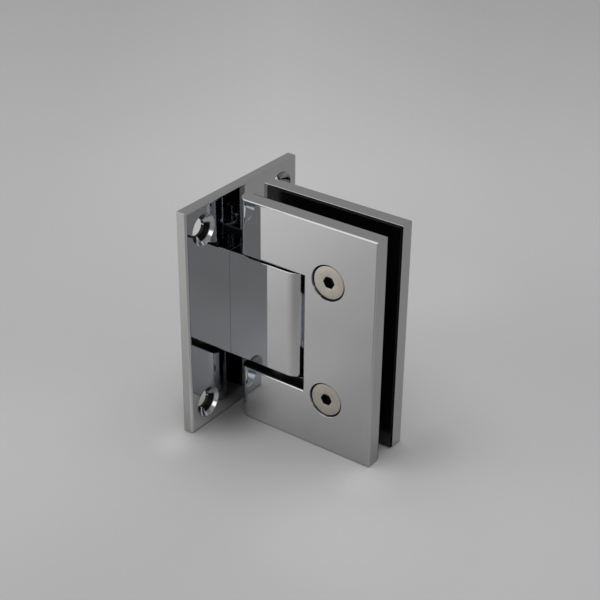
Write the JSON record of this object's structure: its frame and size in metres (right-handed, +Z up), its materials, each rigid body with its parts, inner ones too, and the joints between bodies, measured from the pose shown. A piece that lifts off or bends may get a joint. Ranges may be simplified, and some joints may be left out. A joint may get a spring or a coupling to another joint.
{
  "type": "glass door hinge",
  "caption": "Wall-mounted hinge that grips a frameless glass door between two clamp plates and swings both ways on a sprung, self-centring pivot pin.",
  "frame": {"origin": "centre of the wall plate's back face, which lies against the wall", "axes": "+X out of the wall towards the door, +Y through the thickness of the glass to the rear plate, +Z up along the pivot pin"},
  "size_m": [0.068, 0.064, 0.09],
  "materials": {
    "chrome_plate": "polished",
    "satin_screw": "satin",
    "screw_steel": "satin",
    "pin_steel": "ground",
    "spring_steel": "drawn",
    "black_steel": "blackened",
    "brass_block": "machined",
    "white_nylon": "matte",
    "black_rubber": "matte"
  },
  "bodies": {
    "wall_side": {"wall_plate": "chrome_plate", "hinge_body": "chrome_plate", "body_screw_upper": "screw_steel", "body_screw_lower": "screw_steel", "pin_bush_upper": "white_nylon", "pin_bush_lower": "white_nylon", "thrust_washer_upper": "white_nylon", "thrust_washer_lower": "white_nylon", "detent_spring_upper": "spring_steel", "detent_spring_lower": "spring_steel"},
    "door_side": {"rear_plate": "chrome_plate", "front_plate": "chrome_plate", "rear_gasket": "black_rubber", "front_gasket": "black_rubber", "clamp_screw_upper": "satin_screw", "clamp_screw_lower": "satin_screw", "pivot_pin": "pin_steel", "pin_set_screw_upper": "black_steel", "pin_set_screw_lower": "black_steel"},
    "detent": {"detent_block": "brass_block"}
  },
  "joints": [
    {"name": "door_swing", "type": "hinge", "parent": "wall_side", "child": "door_side", "pos_m": [0.023, 0, 0], "axis": [0, 0, 1], "range_deg": [-90, 90]},
    {"name": "detent_travel", "type": "slide", "parent": "wall_side", "child": "detent", "axis": [1, 0, 0], "range_m": [0, 0.00065], "stiffness_N_per_m": 12000, "springref_m": 0.003, "deforming": ["detent_spring_upper", "detent_spring_lower"]}
  ]
}
